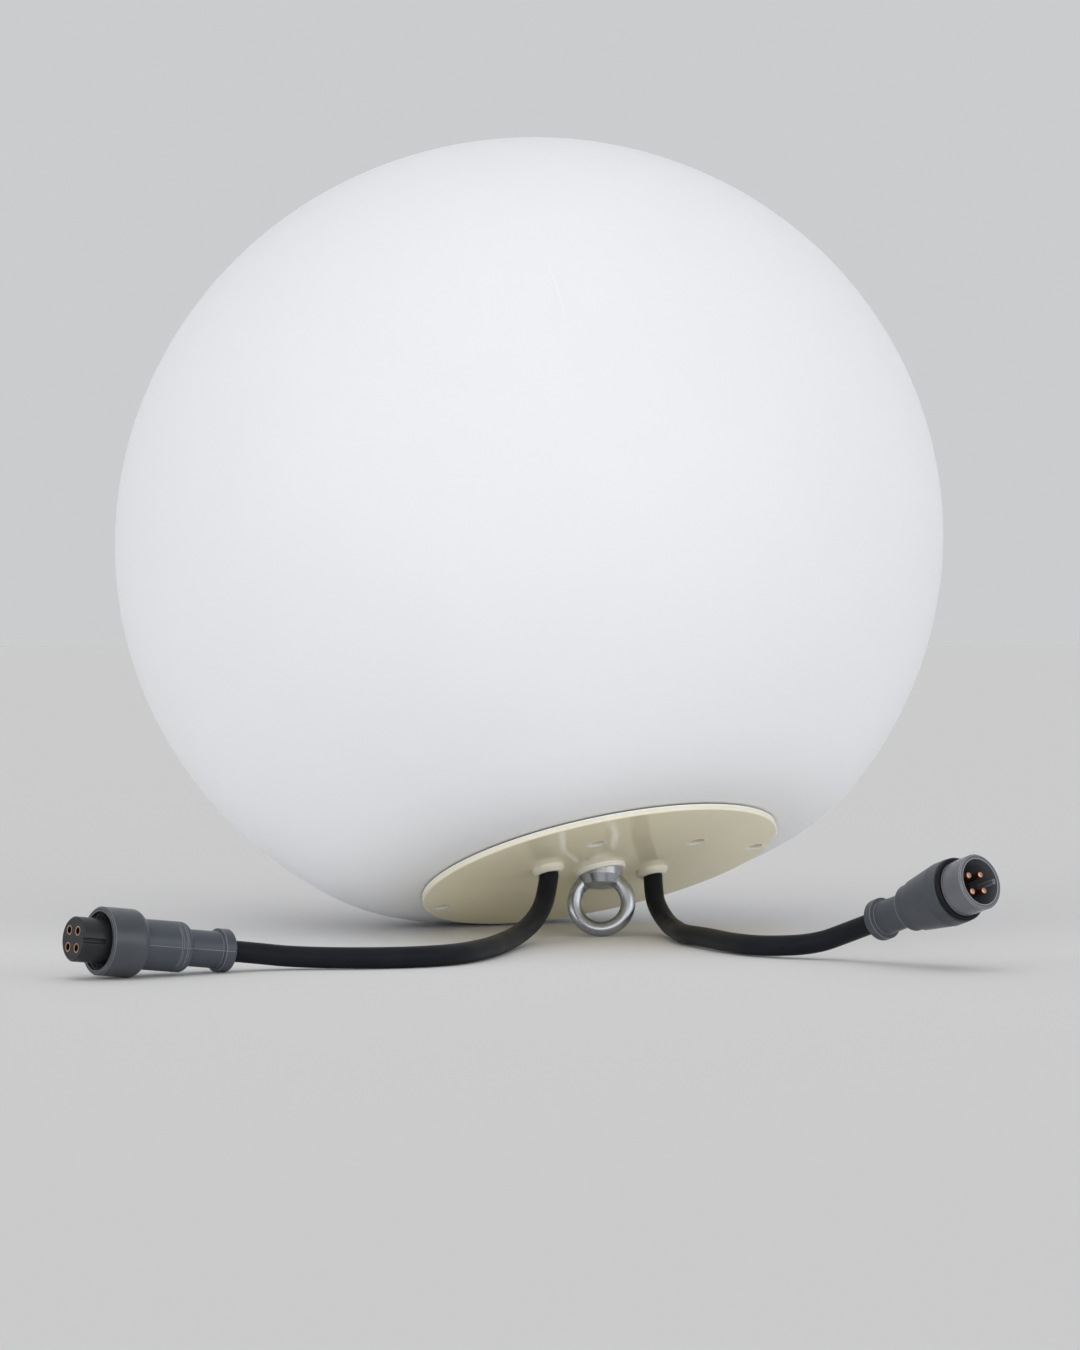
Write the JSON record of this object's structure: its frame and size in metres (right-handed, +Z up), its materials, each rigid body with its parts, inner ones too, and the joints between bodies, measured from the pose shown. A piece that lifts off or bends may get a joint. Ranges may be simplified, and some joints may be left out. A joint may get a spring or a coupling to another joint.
{
  "type": "garden globe light",
  "caption": "Round opal garden globe light with a flat cover plate, a hanging eye and short cables that end in a screw-coupled socket and plug.",
  "frame": {"origin": "on the ground straight below the globe's centre, which is the middle of the lamp's box at its lowest level", "axes": "+Z up from the ground, -Y towards the hanging eye and the cover plate's lower side, +X to the right of one who faces the cover plate"},
  "size_m": [0.3956, 0.3963, 0.2859],
  "materials": {
    "opal_plastic": "satin opal, translucent cool white",
    "ivory_plastic": "semi-gloss ivory",
    "gasket_rubber": "matt grey",
    "polished_steel": "bright turned and bent steel",
    "dull_steel": "zinc plated, dull",
    "insert_brass": "knurled brass",
    "column_aluminium": "as extruded",
    "board_white": "white solder mask",
    "board_green": "green solder mask",
    "led_white": "yellow phosphor in a white case",
    "chip_black": "black moulded package",
    "terminal_plastic": "green moulding",
    "tie_nylon": "natural nylon",
    "core_insulation": "coloured insulation",
    "grommet_rubber": "ivory silicone, satin",
    "cable_jacket": "black jacket, satin",
    "socket_plastic": "charcoal, fine matt",
    "nut_plastic": "charcoal, smooth",
    "plug_plastic": "charcoal, fine matt",
    "barrel_plastic": "grey, smooth",
    "insert_plastic": "black insert",
    "contact_copper": "copper contacts",
    "seal_rubber": "black rubber"
  },
  "bodies": {
    "lamp": {"globe_shell": "opal_plastic", "mouth_gasket": "gasket_rubber", "base_plate": "ivory_plastic", "rim_screws": "dull_steel", "rim_inserts": "insert_brass", "frame_screws": "dull_steel", "eye_bolt": "polished_steel", "eye_washer": "ivory_plastic", "spring_washer": "dull_steel", "eye_nut": "dull_steel", "foot_plate": "dull_steel", "foot_screws": "dull_steel", "led_column": "column_aluminium", "end_board": "board_white", "end_chips": "led_white", "end_screws": "dull_steel", "driver_board": "board_green", "driver_spacers": "tie_nylon", "driver_screws": "dull_steel", "driver_chip": "chip_black", "capacitor": "chip_black", "terminal_block": "terminal_plastic", "column_leads": "core_insulation", "left_grommet": "grommet_rubber", "right_grommet": "grommet_rubber", "left_inner_cable": "cable_jacket", "right_inner_cable": "cable_jacket", "left_stop_tie": "tie_nylon", "right_stop_tie": "tie_nylon", "left_cores": "core_insulation", "right_cores": "core_insulation", "led_board_1": "board_white", "led_board_2": "board_white", "led_board_3": "board_white", "led_board_4": "board_white", "led_chips_1": "led_white", "led_chips_2": "led_white", "led_chips_3": "led_white", "led_chips_4": "led_white", "socket_body": "socket_plastic", "socket_carrier": "insert_plastic", "socket_contacts": "contact_copper", "socket_seal": "seal_rubber", "plug_body": "plug_plastic", "plug_barrel": "barrel_plastic", "plug_insert": "insert_plastic", "plug_pins": "contact_copper", "plug_o_ring": "seal_rubber", "left_cable": "cable_jacket", "right_cable": "cable_jacket"},
    "coupling_nut": {"coupling_nut": "nut_plastic"}
  },
  "joints": [
    {"name": "nut_spin", "type": "hinge", "parent": "lamp", "child": "coupling_nut", "pos_m": [-0.22757, -0.10966, 0.01091], "axis": [-0.9938, -0.0173, 0.1094], "continuous": true}
  ]
}
